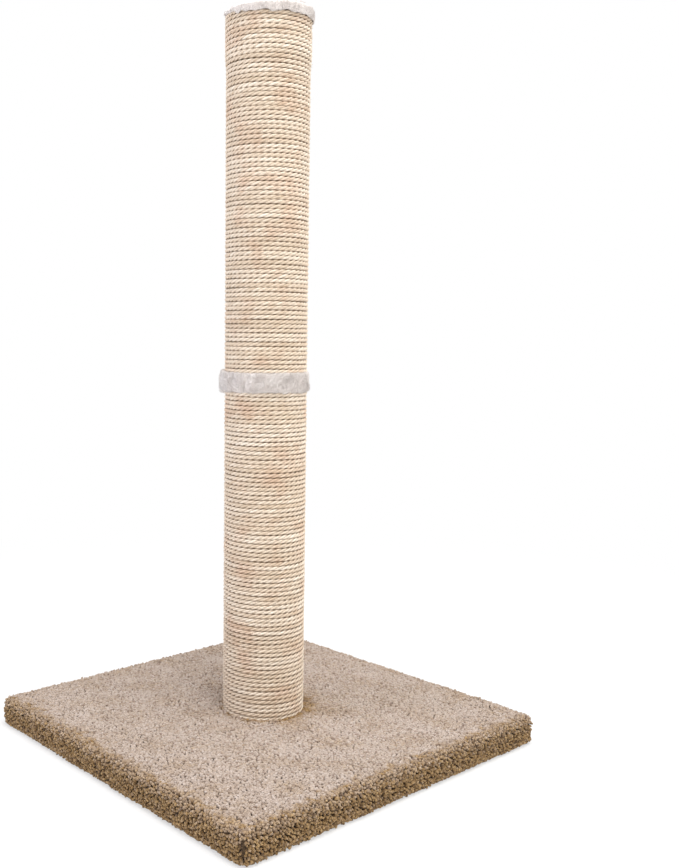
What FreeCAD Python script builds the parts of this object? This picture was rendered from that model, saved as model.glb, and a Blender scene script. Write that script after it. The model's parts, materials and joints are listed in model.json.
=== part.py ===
import FreeCAD, Part
import math
import os

from FreeCAD import Placement, Rotation, Vector

# Floor-standing scratching post: a square carpeted base, and a round post of two paper
# tubes wound with sisal rope, with a plush ring at the joint and a plush cap on top.
# Millimetres, +Z up. The origin is the middle of the underside, on the floor.

# ---- base ----------------------------------------------------------------------------
base_side = 400.0              # over the carpet
board_thickness = 19.0
board_corner_radius = 4.0
carpet_thickness = 5.5         # backing and pile
carpet_top_round = 8.0
carpet_floor_bevel = 3.0
hem_width = 40.0               # carpet folded under, from the board's edge inwards
seam_width = 1.2               # parting of the pile where the carpet is cut at a corner
seam_depth = 2.4
liner_thickness = 0.8
liner_tuck = 10.0              # how far the liner's rim goes under the hem

# ---- post ----------------------------------------------------------------------------
tube_diameter = 76.0
tube_wall = 3.5
tube_length = 350.0
rope_diameter = 4.5
post_sink = 2.0                # how far the post crushes the pile under it
post_seat_gap = 0.5            # pile left clear round the rope
ring_height = 18.6
ring_thickness = 8.0           # backing and pile
ring_end_gap = 1.0             # between the ends of the plush strip
back_angle = 50.0              # rope ends and strip ends are at the back of the post

# ---- plush top -----------------------------------------------------------------------
pad_thickness = 3.7
pad_gap = 0.3                  # pad's rim inside the plush
plush_thickness = 4.5
plush_overhang = 6.0           # plush proud of the tube, over the end of the rope
plush_shoulder = 6.0           # bevel round the top
plush_skirt_thickness = 1.0    # bare backing, held under the rope
plush_skirt_length = 45.0
rope_below_rim = 0.4           # tube left bare above the last turn of rope

# ---- moulded tube plugs --------------------------------------------------------------
plug_lip = 1.2                 # between the end of the tube and what it stands on
plug_depth = 20.0
plug_play = 0.3                # fin to bore
plug_lead = 2.0                # bevel at a fin's tip that starts the plug in the tube
hub_wall = 3.0
hub_floor = 6.0                # what the nut pulls on
hub_height = 16.0
fin_count = 6
fin_thickness = 2.4
fin_tip_width = 8.0

# ---- fasteners -----------------------------------------------------------------------
thread_diameter = 8.0
thread_play = 0.1              # nut bore over thread, on the diameter
clearance_hole = 9.0
nut_across = 13.0
nut_height = 6.5
nut_play = 0.3
bolt_length = 35.0
head_diameter = 13.0
head_height = 5.0
socket_across = 5.0
socket_depth = 2.6
washer_diameter = 24.0
washer_thickness = 2.0
counterbore_diameter = 27.0
counterbore_depth = 10.0
stud_length = 36.0

# ---- staples -------------------------------------------------------------------------
wire_width = 1.2
wire_thickness = 0.6
crown_width = 11.0
staple_play = 0.05             # all round a staple in its slot
hem_staple_leg = 12.0
hem_staple_sink = 1.2          # crown below the tips of the pile
hem_staples_per_side = 4
hem_staple_pitch = 90.0
plug_staple_leg = 8.0
plug_staple_count = 2          # each driven into a fin
rope_staple_leg = 6.0
rope_staple_sink = 1.0
rope_staple_inset = 9.0        # middle of the crown, from the end of the winding
ring_staple_leg = 5.2
ring_staple_grip = 2.2         # backing squeezed between crown and tube, crown included
ring_staple_offset = 5.0       # from the ends of the plush strip, along the ring
skirt_staple_leg = 4.0
skirt_staple_count = 2
skirt_staple_inset = 12.0      # from the lower edge of the skirt
staple_skin = 0.05             # crown below the surface that it is driven flush with
slot_run_out = 1.0             # how far a slot's cutter runs past the surface

# ---- worked out: base ----------------------------------------------------------------
board_side = base_side - 2 * carpet_thickness
board_bottom = carpet_thickness
board_top = board_bottom + board_thickness
base_height = board_top + carpet_thickness
carpet_corner_radius = board_corner_radius + carpet_thickness
window_side = board_side - 2 * hem_width
liner_side = window_side + 2 * liner_tuck
liner_bottom = board_bottom - liner_thickness

# ---- worked out: post ----------------------------------------------------------------
tube_radius = tube_diameter / 2
bore_radius = tube_radius - tube_wall
rope_radius = tube_radius + rope_diameter
post_bottom = base_height - post_sink
lower_tube_bottom = post_bottom + plug_lip
lower_tube_top = lower_tube_bottom + tube_length
joint_height = lower_tube_top + plug_lip
upper_tube_bottom = joint_height + plug_lip
upper_tube_top = upper_tube_bottom + tube_length
post_top = upper_tube_top + plug_lip
ring_top = upper_tube_bottom
ring_bottom = ring_top - ring_height
upper_rope_top = upper_tube_top - rope_below_rim
skirt_bottom = upper_rope_top - plush_skirt_length
skirt_radius = tube_radius + plush_skirt_thickness
rope_top_radius = rope_radius + plush_skirt_thickness
pad_radius = tube_radius - pad_gap

# ---- worked out: fasteners -----------------------------------------------------------
washer_bottom = board_bottom + counterbore_depth - washer_thickness
pocket_across = nut_across + nut_play
hub_across = pocket_across + 2 * hub_wall
fin_radius = bore_radius - plug_play


# ---- shape helpers -------------------------------------------------------------------
def cylinder(radius, bottom, top):
    return Part.makeCylinder(radius, top - bottom, Vector(0, 0, bottom))


def square_block(side, bottom, top, corner_radius=0.0):
    """Upright square block about the Z axis, its four upright edges rounded."""
    block = Part.makeBox(side, side, top - bottom, Vector(-side / 2, -side / 2, bottom))
    if corner_radius > 0:
        upright = [edge for edge in block.Edges if abs(edge.tangentAt(0).z) > 0.9]
        block = block.makeFillet(corner_radius, upright)
    return block


def hexagon(across_flats, bottom, top):
    """Upright hexagonal prism about the Z axis."""
    corner = across_flats / math.sqrt(3)
    points = [Vector(corner * math.cos(math.radians(a)), corner * math.sin(math.radians(a)), bottom)
              for a in range(0, 361, 60)]
    return Part.Face(Part.makePolygon(points)).extrude(Vector(0, 0, top - bottom))


def turned(profile):
    """Solid of revolution about the Z axis, its (r, z) profile straight from point to point."""
    points = [Vector(r, 0, z) for r, z in profile + profile[:1]]
    return Part.Face(Part.makePolygon(points)).revolve(Vector(0, 0, 0), Vector(0, 0, 1), 360)


def edges_at(shape, height):
    """Edges that lie wholly in the horizontal plane at this height."""
    return [edge for edge in shape.Edges
            if abs(edge.BoundBox.ZMin - height) < 0.001 and abs(edge.BoundBox.ZMax - height) < 0.001]


def around(shape, angle):
    """Copy of a shape turned about the Z axis, by an angle in degrees."""
    copy = shape.copy()
    copy.rotate(Vector(0, 0, 0), Vector(0, 0, 1), angle)
    return copy


def mirrored_end(shape):
    """Copy of a piece made for the foot of a tube, turned over for its head."""
    copy = shape.copy()
    copy.rotate(Vector(0, 0, 0), Vector(1, 0, 0), 180)
    return copy


def raised(shape, height):
    copy = shape.copy()
    copy.translate(Vector(0, 0, height))
    return copy


def save(name, *solids):
    shape = solids[0] if len(solids) == 1 else Part.makeCompound(list(solids))
    shape.exportStep(os.path.join("parts", name + ".step"))


# ---- staples -------------------------------------------------------------------------
def staple(leg, grow=0.0, opening=0.0):
    """Staple with its crown's outer face at z = 0, along X, and its legs towards +Z.

    With grow it is the slot that the staple is driven into, and opening carries that
    slot on past the crown, out to the surface.
    """
    half = crown_width / 2 + grow
    inner = crown_width / 2 - wire_thickness - grow
    tip = leg + grow
    crown = wire_thickness
    outline = [(-half, -opening), (half, -opening), (half, tip), (inner, tip),
               (inner, crown), (-inner, crown), (-inner, tip), (-half, tip), (-half, -opening)]
    depth = wire_width / 2 + grow
    face = Part.Face(Part.makePolygon([Vector(x, -depth, z) for x, z in outline]))
    return face.extrude(Vector(0, 2 * depth, 0))


def slot(leg, opening):
    return staple(leg, staple_play, opening)


def placed(shape, places):
    copies = []
    for place in places:
        copy = shape.copy()
        copy.Placement = place
        copies.append(copy)
    return copies


def hem_places():
    """Crowns along the four edges of the underside, legs upwards."""
    line = board_side / 2 - hem_width / 2
    places = []
    for side in range(4):
        turn = Placement(Vector(), Rotation(Vector(0, 0, 1), 90 * side))
        for step in range(hem_staples_per_side):
            along = (step - (hem_staples_per_side - 1) / 2) * hem_staple_pitch
            places.append(turn.multiply(Placement(Vector(along, -line, hem_staple_sink), Rotation())))
    return places


def post_place(radius, height, angle):
    """A staple driven into the post: crown upright at this radius, legs towards the axis."""
    turn = Placement(Vector(), Rotation(Vector(0, 0, 1), angle))
    return turn.multiply(Placement(Vector(radius, 0, height), Rotation(Vector(0, 1, 0), -90)))


def ring_of_places(radius, height, count, first_angle):
    return [post_place(radius, height, first_angle + 360 / count * turn) for turn in range(count)]


def plug_places(height):
    return ring_of_places(tube_radius - staple_skin, height, plug_staple_count, 0)


def winding_places(bottom, top, radius_at_top):
    """One staple at each end of a winding, both at the back of the post."""
    low = post_place(rope_radius - rope_staple_sink, bottom + rope_staple_inset, back_angle)
    high = post_place(radius_at_top - rope_staple_sink, top - rope_staple_inset, back_angle)
    return [low, high]


def ring_places():
    """One staple beside each end of the plush strip."""
    middle = (ring_bottom + ring_top) / 2
    swing = math.degrees(ring_staple_offset / tube_radius)
    radius = tube_radius + ring_staple_grip
    return [post_place(radius, middle, back_angle - swing), post_place(radius, middle, back_angle + swing)]


plug_grip = plug_lip + plug_depth / 2
lower_foot_places = plug_places(post_bottom + plug_grip)
lower_head_places = plug_places(joint_height - plug_grip)
upper_foot_places = plug_places(joint_height + plug_grip)
upper_head_places = plug_places(post_top - plug_grip)
lower_rope_places = winding_places(post_bottom, ring_bottom, rope_radius)
upper_rope_places = winding_places(upper_tube_bottom, upper_rope_top, rope_top_radius)
skirt_places = ring_of_places(skirt_radius - staple_skin, skirt_bottom + skirt_staple_inset,
                              skirt_staple_count, back_angle + 180 / skirt_staple_count)

plug_slot = slot(plug_staple_leg, slot_run_out)
rope_slot = slot(rope_staple_leg, rope_staple_sink + slot_run_out)
ring_slot = slot(ring_staple_leg, ring_thickness)
skirt_slot = slot(skirt_staple_leg, slot_run_out)
hem_slots = placed(slot(hem_staple_leg, hem_staple_sink + slot_run_out), hem_places())


# ---- base ----------------------------------------------------------------------------
def base_board():
    board = square_block(board_side, board_bottom, board_top, board_corner_radius)
    hole = cylinder(clearance_hole / 2, board_bottom, board_top)
    counterbore = cylinder(counterbore_diameter / 2, board_bottom, board_bottom + counterbore_depth)
    return board.cut([hole, counterbore] + hem_slots)


def corner_seam():
    """Parting of the pile at one corner: along the hem's mitre and up the side."""
    inner_end = window_side / 2 * math.sqrt(2) - seam_width
    sharp_corner = base_side / 2 * math.sqrt(2)
    corner = sharp_corner - carpet_corner_radius * (math.sqrt(2) - 1)
    mitre = Part.makeBox(sharp_corner - inner_end, seam_width, seam_depth,
                         Vector(inner_end, -seam_width / 2, 0))
    upright = Part.makeBox(sharp_corner - corner + seam_depth, seam_width, base_height - carpet_top_round,
                           Vector(corner - seam_depth, -seam_width / 2, 0))
    return mitre.fuse(upright).removeSplitter()


def base_carpet():
    """One piece of carpet over the top and sides of the board, folded in under its edges."""
    block = square_block(base_side, 0, base_height, carpet_corner_radius)
    block = block.makeFillet(carpet_top_round, edges_at(block, base_height))
    block = block.makeChamfer(carpet_floor_bevel, edges_at(block, 0))
    board_space = square_block(board_side, board_bottom, board_top, board_corner_radius)
    liner_space = square_block(liner_side, liner_bottom, board_bottom)
    window = square_block(window_side, 0, board_bottom)
    bolt_hole = cylinder(clearance_hole / 2, board_top, base_height)
    post_seat = cylinder(rope_radius + post_seat_gap, post_bottom, base_height)
    seams = [around(corner_seam(), 45 + 90 * corner) for corner in range(4)]
    return block.cut([board_space, liner_space, window, bolt_hole, post_seat] + seams + hem_slots)


def base_liner():
    sheet = square_block(liner_side, liner_bottom, board_bottom)
    return sheet.cut(cylinder(counterbore_diameter / 2, liner_bottom, board_bottom))


# ---- threaded fasteners --------------------------------------------------------------
def base_bolt():
    """Low-head bolt with a hexagon socket, pointing up through the base."""
    head_bottom = washer_bottom - head_height
    head = cylinder(head_diameter / 2, head_bottom, washer_bottom)
    shank = cylinder(thread_diameter / 2, washer_bottom, washer_bottom + bolt_length)
    return head.fuse(shank).cut(hexagon(socket_across, head_bottom, head_bottom + socket_depth))


def base_washer():
    disc = cylinder(washer_diameter / 2, washer_bottom, washer_bottom + washer_thickness)
    return disc.cut(cylinder(clearance_hole / 2, washer_bottom, washer_bottom + washer_thickness))


def joint_stud():
    """Headless threaded rod, half in each tube."""
    return cylinder(thread_diameter / 2, joint_height - stud_length / 2, joint_height + stud_length / 2)


def nut():
    """Hexagon nut as it sits in a foot plug."""
    top = hub_floor + nut_height
    thread = cylinder((thread_diameter + thread_play) / 2, hub_floor, top)
    return hexagon(nut_across, hub_floor, top).cut(thread)


# ---- moulded plug --------------------------------------------------------------------
def tube_plug():
    """Plug as it stands in the foot of a tube, the outer face of its lip at z = 0.

    A lip that the tube's end rests on, a hexagon hub with a pocket for the nut, and fins
    from the hub's corners that fill the bore and take the staples.
    """
    top = plug_lip + plug_depth
    in_lip = plug_lip / 2
    in_hub = hub_across / math.sqrt(3) - hub_wall / 2
    outline = [(in_hub, in_lip), (fin_radius, in_lip), (fin_radius, top - plug_lead),
               (fin_radius - plug_lead, top), (fin_radius - fin_tip_width, top),
               (in_hub, hub_height), (in_hub, in_lip)]
    fin_side = Part.Face(Part.makePolygon([Vector(r, -fin_thickness / 2, z) for r, z in outline]))
    fin = fin_side.extrude(Vector(0, fin_thickness, 0))
    fins = [around(fin, 360 / fin_count * turn) for turn in range(fin_count)]
    body = cylinder(tube_radius, 0, plug_lip).fuse([hexagon(hub_across, 0, hub_height)] + fins)
    bolt_way = cylinder(clearance_hole / 2, 0, hub_floor)
    nut_pocket = hexagon(pocket_across, hub_floor, hub_height)
    return body.removeSplitter().cut([bolt_way, nut_pocket])


# ---- post ----------------------------------------------------------------------------
def paper_tube(bottom, slots):
    outside = cylinder(tube_radius, bottom, bottom + tube_length)
    bore = cylinder(bore_radius, bottom, bottom + tube_length)
    return outside.cut([bore] + slots)


def lower_rope():
    """Close winding of rope as one sleeve, from the carpet up to the ring."""
    sleeve = cylinder(rope_radius, post_bottom, ring_bottom)
    core = cylinder(tube_radius, post_bottom, ring_bottom)
    return sleeve.cut([core] + placed(rope_slot, lower_rope_places))


def upper_rope():
    """Wound from the joint up, its last turns over the skirt of the plush cap."""
    sleeve = turned([(tube_radius, upper_tube_bottom), (rope_radius, upper_tube_bottom),
                     (rope_radius, skirt_bottom), (rope_top_radius, skirt_bottom),
                     (rope_top_radius, upper_rope_top), (skirt_radius, upper_rope_top),
                     (skirt_radius, skirt_bottom), (tube_radius, skirt_bottom)])
    return sleeve.cut(placed(rope_slot, upper_rope_places))


def mid_plush_ring():
    """Strip of plush round the joint, its ends meeting at the back."""
    outside = cylinder(tube_radius + ring_thickness, ring_bottom, ring_top)
    core = cylinder(tube_radius, ring_bottom, ring_top)
    parting = Part.makeBox(tube_radius + ring_thickness, ring_end_gap, ring_height,
                           Vector(0, -ring_end_gap / 2, ring_bottom))
    return outside.cut([core, around(parting, back_angle)] + placed(ring_slot, ring_places()))


# ---- plush top -----------------------------------------------------------------------
def top_pad():
    return cylinder(pad_radius, post_top, post_top + pad_thickness)


def top_plush_cap():
    """Plush over the pad and the end of the tube, its bare skirt under the last turns."""
    pad_top = post_top + pad_thickness
    apex = pad_top + plush_thickness
    outer = tube_radius + plush_overhang
    cap = turned([(0, apex), (outer - plush_shoulder, apex), (outer, apex - plush_shoulder),
                  (outer, upper_rope_top), (skirt_radius, upper_rope_top), (skirt_radius, skirt_bottom),
                  (tube_radius, skirt_bottom), (tube_radius, pad_top), (0, pad_top)])
    return cap.cut(placed(skirt_slot, skirt_places) + placed(rope_slot, upper_rope_places))


# ---- assembly ------------------------------------------------------------------------
def main():
    os.makedirs("parts", exist_ok=True)
    foot_plug = tube_plug()
    head_plug = mirrored_end(foot_plug)
    foot_nut = nut()
    head_nut = mirrored_end(foot_nut)
    lower_foot_slots = placed(plug_slot, lower_foot_places)
    lower_head_slots = placed(plug_slot, lower_head_places)
    upper_foot_slots = placed(plug_slot, upper_foot_places)
    upper_head_slots = placed(plug_slot, upper_head_places)

    save("base_board", base_board())
    save("base_carpet", base_carpet())
    save("base_liner", base_liner())
    save("hem_staples", *placed(staple(hem_staple_leg), hem_places()))
    save("base_bolt", base_bolt())
    save("base_washer", base_washer())

    save("lower_tube", paper_tube(lower_tube_bottom, lower_foot_slots + lower_head_slots
                                  + placed(rope_slot, lower_rope_places)
                                  + placed(ring_slot, ring_places())))
    save("lower_foot_plug", raised(foot_plug, post_bottom).cut(lower_foot_slots))
    save("lower_foot_nut", raised(foot_nut, post_bottom))
    save("lower_head_plug", raised(head_plug, joint_height).cut(lower_head_slots))
    save("lower_head_nut", raised(head_nut, joint_height))
    save("joint_stud", joint_stud())
    save("lower_rope", lower_rope())
    save("mid_plush_ring", mid_plush_ring())

    save("upper_tube", paper_tube(upper_tube_bottom, upper_foot_slots + upper_head_slots
                                  + placed(rope_slot, upper_rope_places)
                                  + placed(skirt_slot, skirt_places)))
    save("upper_foot_plug", raised(foot_plug, joint_height).cut(upper_foot_slots))
    save("upper_foot_nut", raised(foot_nut, joint_height))
    save("upper_head_plug", raised(head_plug, post_top).cut(upper_head_slots))
    save("upper_rope", upper_rope())
    save("top_pad", top_pad())
    save("top_plush_cap", top_plush_cap())

    save("plug_staples", *placed(staple(plug_staple_leg), lower_foot_places + lower_head_places
                                 + upper_foot_places + upper_head_places))
    save("rope_end_staples", *placed(staple(rope_staple_leg), lower_rope_places + upper_rope_places))
    save("ring_staples", *placed(staple(ring_staple_leg), ring_places()))
    save("skirt_staples", *placed(staple(skirt_staple_leg), skirt_places))


main()
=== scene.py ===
import json
import math

import bpy
import numpy as np
from mathutils import Matrix, Vector


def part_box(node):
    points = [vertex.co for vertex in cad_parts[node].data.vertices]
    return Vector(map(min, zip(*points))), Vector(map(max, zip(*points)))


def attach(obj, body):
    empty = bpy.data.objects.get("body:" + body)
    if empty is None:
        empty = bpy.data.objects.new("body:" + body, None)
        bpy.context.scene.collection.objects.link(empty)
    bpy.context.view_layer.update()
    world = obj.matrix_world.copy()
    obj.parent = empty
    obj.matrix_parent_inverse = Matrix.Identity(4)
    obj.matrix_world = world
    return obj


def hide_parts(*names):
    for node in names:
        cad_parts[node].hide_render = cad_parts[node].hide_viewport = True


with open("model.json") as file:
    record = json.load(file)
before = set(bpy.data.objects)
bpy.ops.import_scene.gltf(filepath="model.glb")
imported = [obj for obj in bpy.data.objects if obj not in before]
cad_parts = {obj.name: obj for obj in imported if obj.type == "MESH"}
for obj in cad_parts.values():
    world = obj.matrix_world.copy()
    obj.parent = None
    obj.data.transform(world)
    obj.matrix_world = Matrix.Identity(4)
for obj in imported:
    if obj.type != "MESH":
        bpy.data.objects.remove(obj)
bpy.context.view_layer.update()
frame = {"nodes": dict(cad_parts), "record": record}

# Looks of the scratching post: twisted rope, plush, cut-pile carpet and the pieces they hide.
# Metres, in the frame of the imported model. Arrays of points are (count, 3).

MM = 0.001
BODY = "root"

# ---- sizes read from the frame -------------------------------------------------------
LOWER_ROPE_LOW, LOWER_ROPE_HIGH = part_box("lower_rope")
UPPER_ROPE_LOW, UPPER_ROPE_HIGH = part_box("upper_rope")
RING_LOW, RING_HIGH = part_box("mid_plush_ring")
CAP_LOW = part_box("top_plush_cap")[0]
PAD_LOW, PAD_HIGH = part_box("top_pad")
CARPET_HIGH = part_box("base_carpet")[1]
BOARD_LOW, BOARD_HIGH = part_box("base_board")
LINER_LOW, LINER_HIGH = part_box("base_liner")
TUBE_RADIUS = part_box("lower_tube")[1].x
ROPE_RADIUS = LOWER_ROPE_HIGH.x
ROPE_OVER_SKIRT_RADIUS = UPPER_ROPE_HIGH.x
CARPET_THICKNESS = CARPET_HIGH.z - BOARD_HIGH.z

# ---- rope ----------------------------------------------------------------------------
ROPE_THICKNESS = ROPE_RADIUS - TUBE_RADIUS
ROPE_OVER_TUBE = 1.6 * MM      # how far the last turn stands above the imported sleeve
STRAND_COUNT = 3
STRAND_RADIUS = 0.243 * ROPE_THICKNESS   # the strands are pressed into one another
STRAND_OFFSET = ROPE_THICKNESS / 2 - STRAND_RADIUS
ROPE_SQUEEZE = 0.08            # share by which the wound rope is taller than thick
ROPE_LAY = 19.5 * MM           # length of rope in which a strand goes once round
ROPE_PITCH = 4.46 * MM         # aim, fitted to a whole number of turns
BACK_ANGLE = math.radians(50)  # of the staples at the ends of the rope, and of the ring's ends
LEFT_ANGLE = math.radians(139) # the post's left side in the photograph
END_REACH = math.radians(8)    # from a staple to the end of its rope
CLIMB = math.radians(78)       # turn in which the rope steps up by one pitch
STRAND_SIDES = 8
STATIONS_PER_TURN = 124
ROPE_PIECES = 3                # each winding is split, to keep its meshes light
STAPLE_INSET = 9 * MM          # from the end of a winding to the middle of its staple
CROWN_HALF = 5.5 * MM          # half the length of a staple's crown, which stands upright
WIRE_HALF = 0.6 * MM
CROWN_DEPTH = 1.6 * MM         # inner face of a crown, below the rope's surface

# ---- carpet --------------------------------------------------------------------------
BACKING = 1.2 * MM
LINER_THICKNESS = 0.35 * MM
LINER_HOLE_RADIUS = 13.5 * MM
BOARD_CORNER = 4 * MM
FOLD_RADIUS = 1.6 * MM         # of the backing over the board's edges
HEM_WIDTH = 40 * MM
TOP_SPACING = 2.2 * MM         # between tufts
FOOT_SPACING = 1.8 * MM
SIDE_SPACING = 2.35 * MM
HEM_SPACING = 3.4 * MM
TOP_PIECES = 5                 # the top's pile is split, to keep its meshes light
TOP_TUFT_RADIUS = 1.3 * MM
SIDE_TUFT_RADIUS = 1.1 * MM
SCATTER = 0.14                 # share of the spacing by which side and hem tufts stray
FLOOR_GAP = 0.1 * MM           # lowest that a tuft reaches


# ---- numbers -------------------------------------------------------------------------
def wander(rng, count, stations):
    """Smooth random values from -1 to 1 along a line, with a new aim every few stations."""
    place = np.arange(count) / stations
    left = place.astype(int)
    share = place - left
    share = share * share * (3 - 2 * share)
    aims = rng.uniform(-1, 1, left[-1] + 2)
    return aims[left] * (1 - share) + aims[left + 1] * share


def lumps(points, wavelength, seed, waves=14):
    """Smooth random field of about -1 to 1 at points in space."""
    rng = np.random.default_rng(seed)
    heading = rng.normal(size=(waves, 3))
    heading /= np.linalg.norm(heading, axis=1, keepdims=True)
    heading *= 2 * math.pi / wavelength * rng.uniform(0.6, 1.4, (waves, 1))
    phase = rng.uniform(0, 2 * math.pi, waves)
    return np.sin(points @ heading.T + phase).sum(-1) / math.sqrt(waves)


def unit(vectors):
    return vectors / np.maximum(np.linalg.norm(vectors, axis=-1, keepdims=True), 1e-12)


def full_turn(count):
    """Evenly spaced angles round a circle."""
    return np.arange(count) * 2 * math.pi / count


def around_axis(angle, radius, height):
    """Points on circles about the post."""
    return np.stack([radius * np.cos(angle), radius * np.sin(angle), height + 0 * angle], -1)


def in_linear(red, green, blue):
    """Linear colour from one as it is written for a screen, 0 to 255."""
    share = np.array([red, green, blue]) / 255
    linear = np.where(share <= 0.04045, share / 12.92, ((share + 0.055) / 1.055) ** 2.4)
    return (*linear.tolist(), 1.0)


# ---- meshes --------------------------------------------------------------------------
def mesh_piece(name, points, face_arrays, corner_uvs=None, values=None, smooth=True):
    """Object from points and arrays of faces, each (count, corners), with what its material reads.

    corner_uvs has one (count, corners, 2) array for each face array, and values has named
    arrays with one number for each point.
    """
    corners = np.concatenate([faces.ravel() for faces in face_arrays])
    sizes = np.concatenate([np.full(len(faces), faces.shape[1]) for faces in face_arrays])
    mesh = bpy.data.meshes.new(name)
    mesh.vertices.add(len(points))
    mesh.vertices.foreach_set("co", np.ascontiguousarray(points, np.float32).ravel())
    mesh.loops.add(len(corners))
    mesh.loops.foreach_set("vertex_index", corners.astype(np.int32))
    mesh.polygons.add(len(sizes))
    mesh.polygons.foreach_set("loop_start", (np.cumsum(sizes) - sizes).astype(np.int32))
    mesh.polygons.foreach_set("use_smooth", np.full(len(sizes), smooth))
    if corner_uvs is not None:
        layer = mesh.uv_layers.new(name="along_and_round")
        uvs = np.concatenate([uv.reshape(-1, 2) for uv in corner_uvs])
        layer.data.foreach_set("uv", uvs.astype(np.float32).ravel())
    for label, numbers in (values or {}).items():
        attribute = mesh.attributes.new(label, "FLOAT", "POINT")
        attribute.data.foreach_set("value", np.asarray(numbers, np.float32).ravel())
    mesh.update(calc_edges=True)
    mesh.validate()
    piece = bpy.data.objects.new(name, mesh)
    bpy.context.scene.collection.objects.link(piece)
    return piece


def tube_faces(tubes, stations, sides):
    """Quads along closed tubes whose points are (tubes, stations, sides), and their end faces."""
    number = np.arange(tubes * stations * sides).reshape(tubes, stations, sides)
    after = np.roll(number, -1, axis=2)
    walls = np.stack([number[:, :-1], number[:, 1:], after[:, 1:], after[:, :-1]], -1).reshape(-1, 4)
    ends = np.concatenate([number[:, 0], number[:, -1, ::-1]])
    return walls, ends


def dress(piece, material, slot, *nodes):
    """Gives a piece its material and its place in the frame."""
    piece.data.materials.append(material)
    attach(piece, BODY)
    if nodes:
        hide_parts(*nodes)
    return piece


def fibres(name, lines, radii, values, sides=3):
    """Thin tapered fibres along lines (count, stations, 3), with one radius for each station."""
    count, stations = lines.shape[:2]
    along = unit(np.gradient(lines, axis=1))
    aside = unit(np.cross(along, [0.3, 0.5, 0.81]))
    other = np.cross(along, aside)
    turn = full_turn(sides)
    ring = (aside[:, :, None] * np.cos(turn)[:, None] + other[:, :, None] * np.sin(turn)[:, None])
    points = lines[:, :, None] + ring * np.asarray(radii)[None, :, None, None]
    walls, ends = tube_faces(count, stations, sides)
    each = {label: np.repeat(numbers, stations * sides) for label, numbers in values.items()}
    return mesh_piece(name, points.reshape(-1, 3), [walls, ends], values=each)


# ---- materials -----------------------------------------------------------------------
class Nodes:
    """Nodes of one tree. Inputs are given by name, as a value or another node's output."""

    def __init__(self, tree):
        self.tree = tree
        self.tree.nodes.clear()

    def add(self, kind, inputs=None, **settings):
        node = self.tree.nodes.new(kind)
        for label, value in settings.items():
            setattr(node, label, value)
        for label, value in (inputs or {}).items():
            self.feed(node, label, value)
        return node

    def feed(self, node, label, value):
        socket = node.inputs[label]
        if isinstance(value, bpy.types.NodeSocket):
            self.tree.links.new(value, socket)
        else:
            socket.default_value = value

    def math(self, operation, first, second):
        return self.add("ShaderNodeMath", {0: first, 1: second}, operation=operation).outputs[0]

    def seen(self):
        """1 on rays that show this to the camera, straight, mirrored or through glass, and else 0."""
        path = self.add("ShaderNodeLightPath")
        seen = self.math("MAXIMUM", path.outputs["Is Camera Ray"], path.outputs["Is Glossy Ray"])
        return self.math("MAXIMUM", seen, path.outputs["Is Transmission Ray"])


class Shader(Nodes):
    """One material's nodes, with a principled surface that is already joined to the output."""

    def __init__(self, name, **surface):
        self.material = bpy.data.materials.new(name)
        self.material.use_nodes = True
        super().__init__(self.material.node_tree)
        self.surface = self.add("ShaderNodeBsdfPrincipled", surface)
        self.output = self.add("ShaderNodeOutputMaterial", {"Surface": self.surface.outputs[0]})

    def place(self, scale=(1, 1, 1), source="Object"):
        """Position on the object, in metres, times a scale for each axis."""
        coordinates = self.add("ShaderNodeTexCoord")
        mapping = self.add("ShaderNodeMapping", {"Vector": coordinates.outputs[source], "Scale": scale})
        return mapping.outputs["Vector"]

    def value(self, label):
        return self.add("ShaderNodeAttribute", attribute_name=label).outputs["Fac"]

    def noise(self, vector, scale, detail=2.0, roughness=0.5):
        inputs = {"Vector": vector, "Scale": scale, "Detail": detail, "Roughness": roughness}
        return self.add("ShaderNodeTexNoise", inputs).outputs["Fac"]

    def ramp(self, share, *stops):
        """Colour for a share from 0 to 1, from (position, colour) stops."""
        node = self.add("ShaderNodeValToRGB", {"Fac": share})
        elements = node.color_ramp.elements
        while len(elements) < len(stops):
            elements.new(1.0)
        for element, (position, colour) in zip(elements, stops):
            element.position = position
            element.color = colour
        return node.outputs["Color"]

    def mix(self, share, first, second, blend="MIX"):
        node = self.add("ShaderNodeMix", data_type="RGBA", blend_type=blend)
        for index, value in ((0, share), (6, first), (7, second)):
            self.feed(node, index, value)
        return node.outputs[2]

    def bump(self, height, distance, strength=1.0):
        inputs = {"Height": height, "Distance": distance, "Strength": strength}
        self.feed(self.surface, "Normal", self.add("ShaderNodeBump", inputs).outputs["Normal"])

    def colour(self, value):
        self.feed(self.surface, "Base Color", value)


def rope_material():
    """Sisal: pale straw with fine streaks along the strands and slow changes of tone, with painted shade in
    the valleys between strands and between turns.
    """
    shader = Shader("sisal_rope", Roughness=0.72)
    shader.feed(shader.surface, "Sheen Weight", 0.15)
    along = shader.place((1 / (5 * MM), 22, 1), "UV")
    streaks = shader.noise(along, 1.0, 3.0, 0.6)
    tone = shader.math("ADD", shader.math("MULTIPLY", streaks, 0.8), shader.value("tint"))
    straw = shader.ramp(
        tone,
        (0.12, in_linear(176, 146, 112)),
        (0.36, in_linear(215, 194, 169)),
        (0.58, in_linear(233, 216, 195)),
        (0.80, in_linear(251, 243, 229)),
    )
    patches = shader.noise(shader.place(), 34, 2.0)
    stain = shader.ramp(patches, (0.52, (0, 0, 0, 1)), (0.72, (0.45, 0.45, 0.45, 1)))
    straw = shader.mix(stain, straw, shader.mix(1.0, straw, in_linear(236, 207, 190), "MULTIPLY"))
    # Painted shade: the straw turns brown where the surface lies deep in the rope, in the valleys between
    # strands and between turns.
    painted_shade = shader.ramp(shader.value("shade_depth"), (0.15, (0, 0, 0, 1)), (0.62, (1, 1, 1, 1)))
    shader.colour(shader.mix(painted_shade, straw, in_linear(136, 102, 70)))
    shader.bump(streaks, 0.25 * MM, 0.8)
    return shader.material


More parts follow.
